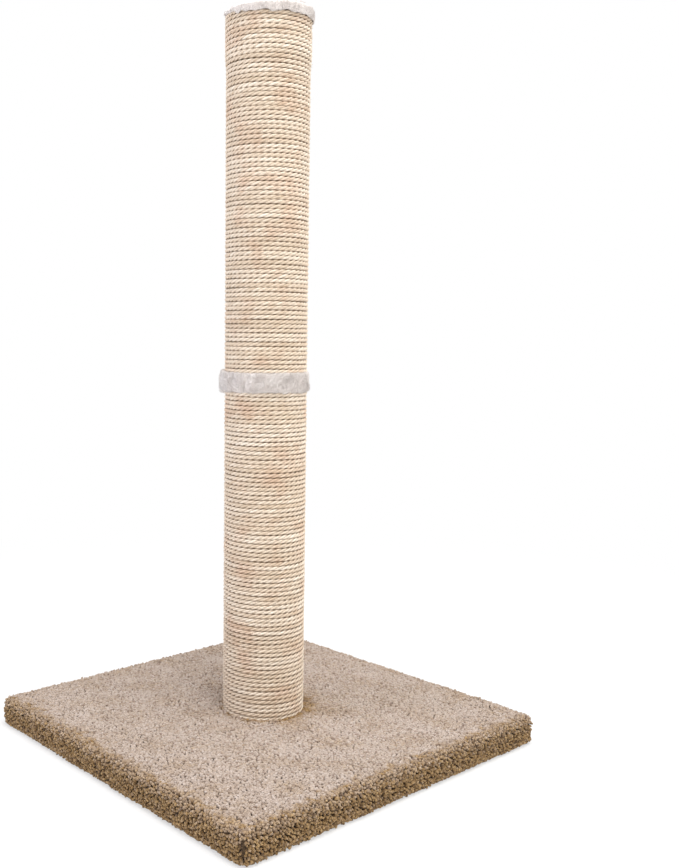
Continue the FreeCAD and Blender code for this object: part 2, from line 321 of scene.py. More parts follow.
def fuzz_material():
    shader = Shader("sisal_fibre", Roughness=0.6)
    shader.colour(shader.ramp(
        shader.value("tint"), (0.0, in_linear(196, 170, 128)), (1.0, in_linear(246, 234, 208))))
    return shader.material


def plush_material():
    """White pile, a little grey in its hollows."""
    shader = Shader("plush", Roughness=0.9)
    shader.feed(shader.surface, "Sheen Weight", 0.3)
    patches = shader.noise(shader.place(), 90, 2.0)
    tone = shader.math("ADD", shader.math("MULTIPLY", patches, 0.6), shader.value("tint"))
    shader.colour(shader.ramp(
        tone,
        (0.10, in_linear(198, 189, 184)),
        (0.45, in_linear(226, 218, 213)),
        (0.90, in_linear(242, 237, 233)),
    ))
    return shader.material


def carpet_material():
    """Heathered yarn. The sides of the base show more of the gold-brown foot of the pile, and are darker
    there as painted shade for the light from above; each tuft also has painted shade towards its root.
    """
    shader = Shader("carpet_pile", Roughness=0.95)
    shader.feed(shader.surface, "Sheen Weight", 0.1)
    grain = shader.noise(shader.place(), 1400, 2.0, 0.6)
    tone = shader.math("ADD", shader.math("MULTIPLY", grain, 0.35), shader.value("tint"))
    # Two copies of the yarn: a pale one for the top and a darker gold-brown one for the sides and edges,
    # partly the gold-brown foot of the pile and partly painted shade for the light from above.
    top = shader.ramp(
        tone,
        (0.12, in_linear(136, 115, 100)),
        (0.40, in_linear(180, 163, 150)),
        (0.75, in_linear(201, 187, 177)),
        (1.00, in_linear(216, 204, 195)),
    )
    side = shader.ramp(
        tone,
        (0.12, in_linear(72, 48, 24)),
        (0.40, in_linear(134, 104, 64)),
        (0.75, in_linear(178, 147, 102)),
        (1.00, in_linear(206, 182, 142)),
    )
    yarn = shader.mix(shader.value("golden_and_shade"), top, side)
    # Painted shade: the yarn darkens to brown towards the root of each tuft.
    shader.colour(shader.mix(shader.value("shade_depth"), yarn, in_linear(104, 80, 60)))
    shader.bump(grain, 0.4 * MM, 0.7)
    return shader.material


def backing_material():
    shader = Shader("carpet_backing", Roughness=0.95)
    weave = shader.noise(shader.place(), 700, 1.0)
    # Darker brown than the yarn, partly the backing's own colour and partly painted shade, so that where it
    # shows between the tufts it reads as their shadow.
    shader.colour(shader.ramp(weave, (0.3, in_linear(96, 76, 56)), (0.7, in_linear(140, 116, 90))))
    shader.bump(weave, 0.3 * MM)
    return shader.material


def liner_material():
    """Spun-bonded cloth, its fibres pressed together in a grid of small dots."""
    shader = Shader("liner", Roughness=0.85)
    dots = shader.add("ShaderNodeTexVoronoi", {"Vector": shader.place(), "Scale": 550.0, "Randomness": 0.0})
    felt = shader.noise(shader.place(), 900, 3.0)
    height = shader.math("ADD", dots.outputs["Distance"], felt)
    shader.colour(shader.ramp(felt, (0.3, in_linear(46, 46, 48)), (0.75, in_linear(82, 82, 84))))
    shader.bump(height, 0.2 * MM, 0.6)
    return shader.material


def board_material():
    """Particle board: pressed chips of several browns."""
    shader = Shader("fibreboard", Roughness=0.8)
    chips = shader.add("ShaderNodeTexVoronoi", {"Vector": shader.place((1, 1, 3)), "Scale": 320.0})
    tone = shader.math("ADD", shader.noise(shader.place(), 60), chips.outputs["Distance"])
    shader.colour(shader.ramp(
        tone,
        (0.3, in_linear(140, 106, 70)),
        (0.7, in_linear(186, 152, 108)),
        (1.0, in_linear(206, 178, 136)),
    ))
    shader.bump(chips.outputs["Distance"], 0.2 * MM, 0.5)
    return shader.material


def paper_material():
    """Raw tube board, its wound plies a little lighter and darker."""
    shader = Shader("paper_tube", Roughness=0.85)
    bands = shader.add("ShaderNodeTexWave", {"Vector": shader.place(), "Scale": 5.0, "Distortion": 2.0},
                       bands_direction="DIAGONAL").outputs["Fac"]
    fibre = shader.noise(shader.place((1, 1, 0.3)), 800, 3.0)
    tone = shader.math("ADD", shader.math("MULTIPLY", bands, 0.2), shader.math("MULTIPLY", fibre, 0.8))
    shader.colour(shader.ramp(tone, (0.2, in_linear(150, 118, 82)), (0.8, in_linear(196, 166, 124))))
    shader.bump(fibre, 0.1 * MM, 0.5)
    return shader.material


def plastic_material():
    shader = Shader("plug_plastic", Roughness=0.55)
    grain = shader.noise(shader.place(), 1500, 2.0)
    shader.colour(shader.ramp(grain, (0.3, in_linear(28, 28, 30)), (0.7, in_linear(44, 44, 46))))
    shader.bump(grain, 0.05 * MM, 0.6)
    return shader.material


def steel_material():
    """Bright zinc plating: fine drawn lines and a slightly uneven sheen."""
    shader = Shader("zinc_steel", Metallic=1.0)
    lines = shader.noise(shader.place((1, 1, 12)), 1200, 2.0)
    cloud = shader.noise(shader.place(), 180, 2.0)
    shader.colour(shader.ramp(cloud, (0.3, in_linear(190, 192, 194)), (0.7, in_linear(222, 223, 222))))
    rough = shader.ramp(lines, (0.3, (0.22, 0.22, 0.22, 1)), (0.7, (0.42, 0.42, 0.42, 1)))
    shader.feed(shader.surface, "Roughness", rough)
    shader.bump(lines, 0.02 * MM, 0.4)
    return shader.material


def foam_material():
    shader = Shader("foam", Roughness=0.95)
    cells = shader.add("ShaderNodeTexVoronoi", {"Vector": shader.place(), "Scale": 900.0}).outputs["Distance"]
    shader.colour(shader.ramp(cells, (0.1, in_linear(196, 186, 150)), (0.7, in_linear(236, 228, 198))))
    shader.bump(cells, 0.3 * MM, 0.8)
    return shader.material


# ---- rope ----------------------------------------------------------------------------
def winding_line(bottom, top, radius_at, rng):
    """Angle, radius and height of the rope's centre line, a little uneven as hand winding is.

    The turns are level, and each steps up to the next at the back of the post. That place
    moves from before the first staple to after the last, so both ends lie level.
    """
    first, last = bottom + ROPE_THICKNESS / 2, top - ROPE_THICKNESS / 2
    climbs = round((last - first) / ROPE_PITCH)
    whole = 2 * math.pi
    angle = np.linspace(0, whole * (climbs + 1) + 2 * END_REACH, (climbs + 1) * STATIONS_PER_TURN)
    step = np.arange(1, climbs + 1)
    shift = np.linspace(-CLIMB - END_REACH / 4, 2.5 * END_REACH, climbs)
    starts = whole * step + shift
    knots = np.stack([starts, starts + CLIMB], -1).ravel()
    levels = np.stack([step - 1, step], -1).ravel() / climbs
    height = first + (last - first) * np.interp(angle, knots, levels)
    angle = angle + BACK_ANGLE - END_REACH
    count = len(angle)
    ease = np.clip(np.minimum(height - height[0], height[-1] - height) / (ROPE_PITCH * 2), 0, 1)
    sway = np.sin(2 * angle + height / (31 * MM)) + np.sin(angle - height / (17 * MM) + 1.3)
    height = height + ease * (0.25 * MM * wander(rng, count, STATIONS_PER_TURN / 6)
                              + 0.20 * MM * sway * wander(rng, count, STATIONS_PER_TURN * 3))
    radius = radius_at(height) - ROPE_THICKNESS / 2 + 0.16 * MM * wander(rng, count, STATIONS_PER_TURN / 6)
    return angle, radius, height


def press_under_staple(points, middle, crown_radius):
    """Moves rope points that would stand through a staple's crown, at this height, in under it."""
    slope = 0.9
    radius = np.hypot(points[..., 0], points[..., 1])
    turn = np.arctan2(points[..., 1], points[..., 0]) - BACK_ANGLE
    aside = np.abs(np.sin(turn)) * radius + np.where(np.cos(turn) < 0, 1.0, 0.0)
    above = np.abs(points[..., 2] - middle)
    room = crown_radius + slope * (np.maximum(aside - WIRE_HALF, 0) + np.maximum(above - CROWN_HALF, 0))
    shrink = np.minimum(1, room / radius)
    points[..., :2] *= shrink[..., None]


def strand_points(angle, radius, height, rng):
    """Points of the three strands, (strand, station, side, 3), and the way along each, in metres."""
    count = len(angle)
    centre = around_axis(angle, radius, height)
    out = around_axis(angle, 1.0, 0 * angle)
    along = unit(np.gradient(centre, axis=0))
    across = unit(np.cross(along, out))
    out = np.cross(across, along)
    travelled = np.concatenate([[0], np.cumsum(np.linalg.norm(np.diff(centre, axis=0), axis=1))])
    slack = 1.1 * wander(rng, count, STATIONS_PER_TURN / 5)
    size = 1 + 0.03 * wander(rng, count, STATIONS_PER_TURN / 6)
    round_strand = full_turn(STRAND_SIDES)
    strands = []
    for strand in range(STRAND_COUNT):
        twist = -2 * math.pi * travelled / ROPE_LAY + slack + strand * 2 * math.pi / STRAND_COUNT
        outward = out * np.cos(twist)[:, None] + across * np.sin(twist)[:, None]
        middle = centre + outward * (STRAND_OFFSET * size)[:, None]
        sideways = unit(np.cross(np.gradient(middle, axis=0), outward))
        thickness = STRAND_RADIUS * size * (1 + 0.05 * wander(rng, count, STATIONS_PER_TURN / 20))
        ring = (outward[:, None] * np.cos(round_strand)[:, None]
                + sideways[:, None] * np.sin(round_strand)[:, None])
        strands.append(middle[:, None] + ring * thickness[:, None, None])
    points = np.stack(strands)
    points[..., 2] += ROPE_SQUEEZE * (points[..., 2] - height[:, None])
    return points, travelled


def rope_part(name, points, travelled, values, material, node):
    """One stretch of the winding, its three strands closed at both ends."""
    strands, stations, sides = points.shape[:3]
    walls, ends = tube_faces(strands, stations, sides)
    way = np.stack([travelled[:-1], travelled[1:], travelled[1:], travelled[:-1]], -1)
    side = np.arange(sides) / sides
    round_it = np.stack([side, side, side + 1 / sides, side + 1 / sides], -1)
    along, around = np.broadcast_arrays(way[None, :, None, :], round_it[None, None, :, :])
    shift = np.arange(strands)[:, None, None, None] * 0.37
    wall_uv = np.stack([along + 0 * shift, around + shift], -1)
    end_uv = np.zeros((len(ends), sides, 2))
    piece = mesh_piece(name, points.reshape(-1, 3), [walls, ends], [wall_uv, end_uv], values)
    return dress(piece, material, "sisal_rope", node)


def winding(label, node, bottom, top, radius_at, staple_radii, seed, material):
    """A close winding of three-strand rope, as a few pieces one after the other."""
    rng = np.random.default_rng(seed)
    angle, radius, height = winding_line(bottom, top, radius_at, rng)
    points, travelled = strand_points(angle, radius, height, rng)
    press_under_staple(points, bottom + STAPLE_INSET, staple_radii[0])
    press_under_staple(points, top - STAPLE_INSET, staple_radii[1])
    count = len(angle)
    slow = 0.10 * wander(rng, count, STATIONS_PER_TURN / 2)
    tint = np.stack([slow + 0.08 * wander(rng, count, STATIONS_PER_TURN / 9)
                     + 0.05 * wander(rng, count, 3) for _ in range(STRAND_COUNT)]) + 0.12
    # How far each point lies below the rope's outer surface, which the material darkens as painted shade.
    sunk = (radius + ROPE_THICKNESS / 2)[:, None] - np.hypot(points[..., 0], points[..., 1])
    shade_depth = np.clip(sunk / ROPE_THICKNESS, 0, 1)
    cuts = np.linspace(0, count - 1, ROPE_PIECES + 1).astype(int)
    for number, (first, last) in enumerate(zip(cuts[:-1], cuts[1:])):
        part = slice(first, last + 1)
        values = {"tint": np.repeat(tint[:, part], STRAND_SIDES), "shade_depth": shade_depth[:, part].ravel()}
        rope_part(f"{label}_{number + 1}", points[:, part], travelled[part], values, material, node)
    return angle, radius, height


def rope_fuzz(name, line, count, seed, material):
    """Stray fibres that stand off the rope."""
    rng = np.random.default_rng(seed)
    pick = rng.integers(0, len(line[0]), count)
    angle, radius, height = (values[pick] for values in line)
    swing = rng.uniform(-0.9, 0.9, count)
    root = around_axis(angle, radius + ROPE_THICKNESS / 2 * np.cos(swing) * 0.9,
                       height + ROPE_THICKNESS / 2 * np.sin(swing))
    out = around_axis(angle, 1.0, 0 * angle)
    tangent = np.stack([-np.sin(angle), np.cos(angle), 0 * angle], -1)
    way = unit(tangent * rng.choice([-1, 1], (count, 1)) + out * rng.uniform(0.05, 0.5, (count, 1))
               + rng.normal(0, 0.25, (count, 3)))
    length = rng.uniform(2, 6, count)[:, None] * MM
    bend = unit(rng.normal(size=(count, 3)) - 0.6 * out) * length * 0.25
    share = np.linspace(0, 1, 5)
    lines = root[:, None] + way[:, None] * (length * share)[..., None] + bend[:, None] * (share ** 2)[:, None]
    piece = fibres(name, lines, np.array([1, 1, 0.9, 0.7, 0.3]) * 0.07 * MM,
                   {"tint": rng.uniform(0, 1, count)})
    return dress(piece, material, "sisal_rope")


# ---- plush ---------------------------------------------------------------------------
def swept_round(name, profile, count, shape, values, material, slot, node):
    """Closed body turned about the post's axis from a closed (r, z) profile, then shaped."""
    angle = full_turn(count)
    points = around_axis(angle[:, None], profile[None, :, 0], profile[None, :, 1])
    points = shape(points)
    number = np.arange(points[..., 0].size).reshape(points.shape[:2])
    right, down = np.roll(number, -1, axis=0), np.roll(number, -1, axis=1)
    faces = np.stack([number, right, np.roll(right, -1, axis=1), down], -1).reshape(-1, 4)
    piece = mesh_piece(name, points.reshape(-1, 3), [faces], values=values(points))
    return dress(piece, material, slot, node), points


def pile_on(name, points, normals, lie, length, rng, material, radius=0.12 * MM, painted_highlight=0.0):
    """Pile fibres that stand on a surface at the given points, combed over by lie times their height."""
    count = len(points)
    flow = np.stack([lumps(points, 16 * MM, seed) for seed in (71, 72, 73)], -1)
    flow = flow - normals * (flow * normals).sum(-1, keepdims=True)
    way = unit(normals + lie * flow + rng.normal(0, 0.25, (count, 3)))
    long = length * rng.uniform(0.7, 1.15, count)[:, None]
    curl = np.cross(way, unit(rng.normal(size=(count, 3)))) * long * 0.3
    share = np.array([-0.15, 0.5, 1])
    lines = points[:, None] + way[:, None] * (long * share)[..., None] + curl[:, None] * (share ** 2)[:, None]
    # The tint may be raised by a caller, as a painted highlight.
    piece = fibres(name, lines, np.array([1.1, 0.95, 0.3]) * radius,
                   {"tint": rng.uniform(0.1, 0.4, count) + painted_highlight})
    return dress(piece, material, "plush")


def round_corner(centre, radius, start, end, count):
    """Points of an arc in the (r, z) plane, angles in degrees from the r axis."""
    turn = np.radians(np.linspace(start, end, count))
    return np.stack([centre[0] + radius * np.cos(turn), centre[1] + radius * np.sin(turn)], -1)


def resampled(profile, step):
    """The closed profile with its sides divided into lengths of about one step."""
    closed = np.vstack([profile, profile[:1]])
    parts = []
    for first, last in zip(closed[:-1], closed[1:]):
        divisions = max(1, round(np.linalg.norm(last - first) / step))
        share = np.arange(divisions)[:, None] / divisions
        parts.append(first + (last - first) * share)
    return np.concatenate(parts)


def surface_samples(points, wanted, rng, keep):
    """Random points and outward normals on a swept body, where keep(points) is true."""
    around, down = points.shape[:2]
    a = points
    b = np.roll(points, -1, axis=0)
    c = np.roll(b, -1, axis=1)
    d = np.roll(points, -1, axis=1)
    cross = np.cross(c - a, d - b)
    area = np.linalg.norm(cross, axis=-1) / 2
    weight = (area * keep((a + b + c + d) / 4)).ravel()
    pick = rng.choice(around * down, wanted, p=weight / weight.sum())
    i, j = np.divmod(pick, down)
    s, t = rng.uniform(0, 1, (2, wanted, 1))
    place = (a[i, j] * (1 - s) + b[i, j] * s) * (1 - t) + (d[i, j] * (1 - s) + c[i, j] * s) * t
    return place, unit(cross[i, j])


def angle_from(points, direction):
    """Angle about the post from a direction, -180 to 180 degrees, in radians."""
    turn = np.arctan2(points[..., 1], points[..., 0]) - direction
    return np.arctan2(np.sin(turn), np.cos(turn))


def plush_ring(material):
    """Strip of plush round the joint, pressed between the windings, with a tuft out on the left that is
    painted lighter as a painted highlight.
    """
    inner, rim = TUBE_RADIUS + 0.2 * MM, ROPE_RADIUS + 1.0 * MM
    low, high = RING_LOW.z - 0.5 * MM, RING_HIGH.z + 0.7 * MM
    middle, half, base = (low + high) / 2, (high - low) / 2, ROPE_RADIUS - 2 * MM
    turn = np.radians(np.linspace(-90, 90, 41))
    roundness = 0.5
    wall = np.stack([base + (rim - base) * np.abs(np.cos(turn)) ** roundness,
                     middle + half * np.sign(turn) * np.abs(np.sin(turn)) ** roundness], -1)
    profile = resampled(np.vstack([[(inner, low)], wall, [(inner, high)]]), 0.8 * MM)

    def shape(points):
        radius = np.hypot(points[..., 0], points[..., 1])
        outer = np.clip((radius - inner) / (rim - inner), 0, 1)
        above = (points[..., 2] - middle) / half
        tuft = np.exp(-((angle_from(points, LEFT_ANGLE) / 0.24) ** 2))
        lump = 0.45 * MM * lumps(points, 12 * MM, 5) + 0.25 * MM * lumps(points * [1, 1, 0.3], 6 * MM, 6)
        seam = np.exp(-((angle_from(points, BACK_ANGLE) * radius / (1.2 * MM)) ** 2))
        scallop = 0.9 * MM * lumps(points * [1, 1, 0], 9 * MM, 8) * np.clip(-above, 0, 1) ** 2
        radius = radius + outer * (3.4 * MM * tuft + lump - 2.5 * MM * seam)
        height = points[..., 2] + outer * (scallop + 2.2 * MM * tuft * np.clip(above, -0.3, 1))
        return around_axis(np.arctan2(points[..., 1], points[..., 0]), radius, height)

    # Painted highlight: the tuft on the left, and the pile on it, are painted lighter.
    def painted_highlight(points):
        return 0.45 * np.exp(-((angle_from(points, LEFT_ANGLE) / 0.3) ** 2))

    def tint(points):
        flat = points.reshape(-1, 3)
        return {"tint": 0.12 + 0.06 * lumps(flat, 20 * MM, 9) + painted_highlight(flat)}

    piece, points = swept_round("plush_ring", profile, 320, shape, tint, material, "plush", "mid_plush_ring")
    rng = np.random.default_rng(21)

    def outside(p):
        return np.hypot(p[..., 0], p[..., 1]) > ROPE_RADIUS - 1.2 * MM

    place, normal = surface_samples(points, 13000, rng, outside)
    pile = pile_on("plush_ring_pile", place, normal, 1.1, 1.7 * MM, rng, material, painted_highlight=painted_highlight(place))


def plush_cap(material):
    """Plush over the foam pad and the end of the tube, its skirt under the last turns.

    Its edge hangs over the rope, lowest on the side that the photograph shows.
    """
    inner = TUBE_RADIUS + 0.05 * MM
    skirt = TUBE_RADIUS + 0.7 * MM
    clear = ROPE_OVER_SKIRT_RADIUS + 0.35 * MM
    outer = ROPE_OVER_SKIRT_RADIUS + 1.1 * MM
    pad_top = PAD_HIGH.z + 0.1 * MM
    edge = UPPER_ROPE_HIGH.z + ROPE_OVER_TUBE + 0.1 * MM
    over, shoulder, dome, hang = edge + 0.2 * MM, 5 * MM, 330 * MM, 5.6 * MM
    bend = round_corner((outer - shoulder, over), shoulder, 0, 80, 8)
    flat = math.acos(bend[-1, 0] / dome)
    crown = round_corner((0, bend[-1, 1] - dome * math.sin(flat)), dome, math.degrees(flat), 89.93, 14)
    profile = resampled(np.vstack([
        [(0.4 * MM, pad_top), (inner, pad_top), (inner, CAP_LOW.z), (skirt, CAP_LOW.z), (skirt, edge)],
        [(clear, edge), (clear, edge - hang), (outer, edge - hang)],
        bend, crown[1:],
    ]), 1.2 * MM)
    lowest = LEFT_ANGLE + math.pi / 2 + 0.45  # of the edge's angles, a little right of the front
    aside = np.array([-math.cos(LEFT_ANGLE), -math.sin(LEFT_ANGLE), 0])

    def shape(points):
        radius = np.hypot(points[..., 0], points[..., 1])
        height = points[..., 2]
        beyond = np.clip((radius - skirt) / (clear - skirt), 0, 1)
        shown = np.maximum(beyond, height > pad_top + 0.1 * MM)
        share = np.clip(0.45 + 1.1 * np.cos(angle_from(points, lowest)), 0, 1)
        drawn_in = 1.8 * MM * np.clip(1 - share / 0.15, 0, 1)
        uneven = 1 + 0.2 * lumps(points * [1, 1, 0], 10 * MM, 33)
        below = np.clip(edge - height, 0, hang) * beyond * (1 - share * uneven)
        lump = 0.30 * MM * lumps(points, 15 * MM, 31) + 0.12 * MM * lumps(points, 6 * MM, 32)
        rise = np.clip((height - over) / shoulder, 0, 1)
        height = height + below + shown * rise * (lump + 0.03 * (points @ aside))
        radius = radius - beyond * drawn_in + shown * np.maximum(lump, 0)
        moved = around_axis(np.arctan2(points[..., 1], points[..., 0]), radius, height)
        return moved + (shown * rise * 1.2 * MM)[..., None] * aside

    piece, points = swept_round("plush_cap", profile, 240, shape,
                                lambda p: {"tint": 0.12 + 0.05 * lumps(p.reshape(-1, 3), 25 * MM, 35)},
                                material, "plush", "top_plush_cap")
    rng = np.random.default_rng(22)

    def outside(p):
        radius = np.hypot(p[..., 0], p[..., 1])
        return (radius > outer - 0.5 * MM) & (p[..., 2] > edge - 8 * MM) | (p[..., 2] > pad_top + 1.2 * MM)

    place, normal = surface_samples(points, 14000, rng, outside)
    pile = pile_on("plush_cap_pile", place, normal, 0.9, 1.2 * MM, rng, material, 0.11 * MM)


def foam_pad(material):
    """Foam disc under the plush, crowned and rounded at its rim by the pull of the cover."""
    radius, low, high = PAD_HIGH.x, PAD_LOW.z, PAD_HIGH.z
    soft = (high - low) * 0.45
    rim = round_corner((radius - soft, low + soft), soft, -90, 0, 5)
    top = round_corner((radius - soft, high - 0.6 * MM - soft), soft, 0, 85, 5)
    profile = resampled(np.vstack([[(0.4 * MM, low)], rim, top, [(0.4 * MM, high)]]), 1.5 * MM)

    def shape(points):
        share = np.clip((points[..., 2] - low) / (high - low), 0, 1)
        points[..., 2] -= share * 0.12 * MM * (1 + lumps(points, 14 * MM, 36))
        return points

    piece, _ = swept_round("top_foam", profile, 120, shape, lambda p: {}, material, "foam", "top_pad")


# ---- carpet --------------------------------------------------------------------------
def square_ring(half, corner, count):
    """Evenly spaced points round a square with rounded corners, and their outward normals, as (x, y)."""
    straight = 2 * (half - corner)
    arc = corner * math.pi / 2
    place = (np.arange(count) + 0.5) / count * 4
    side = place.astype(int)
    local = (place - side) * (straight + arc)
    bend = np.clip((local - straight) / corner, 0, math.pi / 2)
    x = half - corner + corner * np.cos(bend)
    y = np.minimum(local, straight) - straight / 2 + corner * np.sin(bend)
    turn = side * math.pi / 2
    point = np.stack([x * np.cos(turn) - y * np.sin(turn), x * np.sin(turn) + y * np.cos(turn)], -1)
    return point, np.stack([np.cos(bend + turn), np.sin(bend + turn)], -1)


def fold_profile(gap, step, row_bend=None):
    """Rows of the folded carpet, this far off the board: (outward, height, tilt) from the top's edge.

    Outward is from the board's side, and tilt is 0 where the carpet faces up, 90 degrees
    where it faces outwards and 180 where it is the hem. row_bend is the radius that sets
    the number of rows round a fold.
    """
    bend = FOLD_RADIUS + gap
    round_fold = max(2, round(math.pi / 2 * (row_bend or bend) / step))
    rows = []
    sink = FOLD_RADIUS
    high, low = BOARD_HIGH.z, BOARD_LOW.z
    for turn in np.linspace(0, math.pi / 2, round_fold, endpoint=False):
        rows.append((-sink + bend * math.sin(turn), high - sink + bend * math.cos(turn), turn))
    steps = max(2, round((high - low - 2 * sink) / step))
    for height in np.linspace(high - sink, low + sink, steps, endpoint=False):
        rows.append((gap, height, math.pi / 2))
    for turn in np.linspace(math.pi / 2, math.pi, round_fold, endpoint=False):
        rows.append((-sink + bend * math.sin(turn), low + sink + bend * math.cos(turn), turn))
    steps = max(2, round((HEM_WIDTH - sink) / step))
    for outward in np.linspace(-sink, -HEM_WIDTH, steps):
        rows.append((outward, low - gap, math.pi))
    return rows


def loft(name, loops, joined):
    """Closed body through loops of points; its last loop joins the first, or both are filled."""
    number = np.arange(loops.shape[0] * loops.shape[1]).reshape(loops.shape[:2])
    if joined:
        number = np.vstack([number, number[:1]])
    after = np.roll(number, -1, axis=1)
    walls = np.stack([number[:-1], number[1:], after[1:], after[:-1]], -1).reshape(-1, 4)
    lids = [] if joined else [np.stack([number[0], number[-1][::-1]])]
    return mesh_piece(name, loops.reshape(-1, 3), [walls, *lids])


def off_seam(points):
    """Distance from the nearer diagonal of the base, where the carpet is cut at its corners."""
    return np.abs(np.abs(points[:, 0]) - np.abs(points[:, 1])) / math.sqrt(2)


def carpet_backing(material):
    """Woven backing, one closed sheet over the board, folded under its edges."""
    count = 480
    least_corner = 0.3 * MM

    def loops(gap):
        for outward, height, _ in fold_profile(gap, 2 * MM, FOLD_RADIUS + BACKING):
            ring, _ = square_ring(BOARD_HIGH.x + outward, max(BOARD_CORNER + outward, least_corner), count)
            yield np.column_stack([ring, np.full(count, height)])

    outside, inside = list(loops(BACKING)), list(loops(0.05 * MM))
    piece = loft("carpet_backing", np.stack(outside + inside[::-1]), joined=False)
    return dress(piece, material, "carpet", "base_carpet")


def liner_sheet(material):
    """Thin cloth glued under the board, a little wavy, open round the bolt's counterbore."""
    count, rows = 240, 40
    half = LINER_HIGH.x
    edge, _ = square_ring(half, 1.0 * MM, count)
    hole = unit(edge) * LINER_HOLE_RADIUS
    share = np.linspace(0, 1, rows)[:, None, None]
    plan = hole * (1 - share) + edge * share
    middle = (LINER_LOW.z + LINER_HIGH.z) / 2
    flat = np.concatenate([plan, np.full((rows, count, 1), middle)], -1)
    wave = 0.12 * MM * lumps(flat, 45 * MM, 51) + 0.06 * MM * lumps(flat, 12 * MM, 52)
    wave = np.clip(wave, -0.18 * MM, 0.18 * MM)
    lower, upper = flat.copy(), flat.copy()
    lower[..., 2] += wave - LINER_THICKNESS / 2
    upper[..., 2] += wave + LINER_THICKNESS / 2
    piece = loft("liner_sheet", np.concatenate([lower, upper[::-1]]), joined=True)
    return dress(piece, material, "liner", "base_liner")


def tuft_mesh(name, roots, ways, lengths, radius, golden_and_shade, rng, material, floor=None):
    """Cut tufts of yarn: a stub that widens to its shoulder and ends in a small cut face."""
    count = len(roots)
    shares = np.array([0.0, 0.8, 1.0])
    widths = np.array([0.9, 1.3, 0.95])
    sides = 5
    aside = unit(np.cross(ways, unit(rng.normal(size=(count, 3)))))
    other = np.cross(ways, aside)
    bend = aside * rng.normal(0, 0.12, (count, 1)) + other * rng.normal(0, 0.12, (count, 1))
    bend = bend * lengths[:, None]
    middle = (roots[:, None] + ways[:, None] * (lengths[:, None] * shares)[..., None]
              + bend[:, None] * (shares ** 2)[:, None])
    turn = full_turn(sides)
    ring = aside[:, None] * np.cos(turn)[:, None] + other[:, None] * np.sin(turn)[:, None]
    girth = radius * rng.uniform(0.75, 1.1, (count, 1, 1, 1)) * widths[None, :, None, None]
    uneven = rng.uniform(0.8, 1.15, (count, len(shares), sides, 1))
    points = middle[:, :, None] + ring[:, None] * girth * uneven
    if floor is not None:
        points[..., 2] = np.maximum(points[..., 2], floor)
    walls, ends = tube_faces(count, len(shares), sides)
    each = len(shares) * sides
    mixed = rng.choice([0.06, 0.24, 0.34, 0.46], count, p=[0.09, 0.37, 0.36, 0.18])
    tint = np.clip(mixed + rng.normal(0, 0.05, count), 0, 0.7)
    # Painted shade: strongest at the root ring of each tuft, slight at its shoulder and none at its cut end.
    shade_depth = np.tile(np.repeat([0.55, 0.04, 0.0], sides), count)
    values = {"tint": np.repeat(tint, each), "golden_and_shade": np.repeat(golden_and_shade, each), "shade_depth": shade_depth}
    piece = mesh_piece(name, points.reshape(-1, 3), [walls, ends], values=values)
    return dress(piece, material, "carpet")


def pile_lengths(roots, rng, spread=0.35 * MM):
    length = CARPET_THICKNESS - BACKING
    return length + 0.3 * MM * lumps(roots, 60 * MM, 41) + rng.normal(0, spread, len(roots))


def top_pile(material):
    """Tufts over the top, in sewn rows, pressed against the foot of the post."""
    rng = np.random.default_rng(31)
    reach = BOARD_HIGH.x - FOLD_RADIUS
    steps = round(2 * reach / TOP_SPACING)
    line = (np.arange(steps) + 0.5) / steps * 2 * reach - reach
    x, y = np.meshgrid(line, line, indexing="ij")
    y = y + np.where(np.arange(steps) % 2, 0.25, -0.25)[:, None] * TOP_SPACING
    flat = np.stack([x.ravel(), y.ravel()], -1) + rng.normal(0, 0.18 * TOP_SPACING, (steps * steps, 2))
    keep = (np.hypot(flat[:, 0], flat[:, 1]) > ROPE_RADIUS + 2 * MM) & (np.abs(flat).max(1) < reach)
    foot = np.arange(0, 2 * math.pi, FOOT_SPACING / ROPE_RADIUS)
    against = around_axis(foot, ROPE_RADIUS + rng.uniform(0.4, 0.9, len(foot)) * MM, 0)[:, :2]
    flat = np.concatenate([flat[keep], against])
    from_post = np.hypot(flat[:, 0], flat[:, 1]) - ROPE_RADIUS
    roots = np.column_stack([flat, np.full(len(flat), BOARD_HIGH.z + BACKING)])
    slope = np.column_stack([lumps(roots, 45 * MM, 42), lumps(roots, 45 * MM, 43), np.zeros(len(roots))])
    crowd = np.exp(-from_post / (2.5 * MM))
    lean = 0.18 * slope * (1 - crowd[:, None])
    ways = unit(np.array([0, 0, 1.0]) + lean + rng.normal(0, 0.13, roots.shape))
    uneven = lumps(roots, 14 * MM, 44)
    # Along the top's edges the tufts turn gold-brown and darker, partly as painted shade, fully on the two
    # edges that face the camera and 0.3 as much on the other two.
    rim = np.clip((np.abs(flat).max(1) - reach) / (16 * MM) + 0.65 + 0.25 * uneven, 0, 1)
    rim = rim * np.where(flat.sum(1) < 0, 1.0, 0.3)
    # Round the foot of the post the tufts are more gold-brown, out to a wider ring and more strongly on the
    # post's right side.
    right = np.cos(angle_from(roots, LEFT_ANGLE - math.pi))
    post_foot_tint = np.exp(-from_post / (5 * MM + 7 * MM * np.clip(right, 0, 1)))
    post_foot_tint = post_foot_tint * (0.8 + 0.4 * right + 0.35 * uneven)
    mottled = 0.12 + 0.12 * lumps(roots, 40 * MM, 45) + 0.08 * lumps(roots, 7 * MM, 46)
    mottled = mottled + rng.normal(0, 0.1, len(flat))
    golden_and_shade = np.clip(np.maximum(rim, post_foot_tint) + mottled, 0, 1)
    band = np.digitize(flat[:, 0], np.linspace(-reach, reach, TOP_PIECES + 1)[1:-1])
    lengths = pile_lengths(roots, rng, 0.14 * MM) + 0.8 * MM * crowd
    return [tuft_mesh(f"carpet_pile_top_{part + 1}", roots[band == part], ways[band == part],
                      lengths[band == part], TOP_TUFT_RADIUS, golden_and_shade[band == part], rng, material)
            for part in range(TOP_PIECES)]


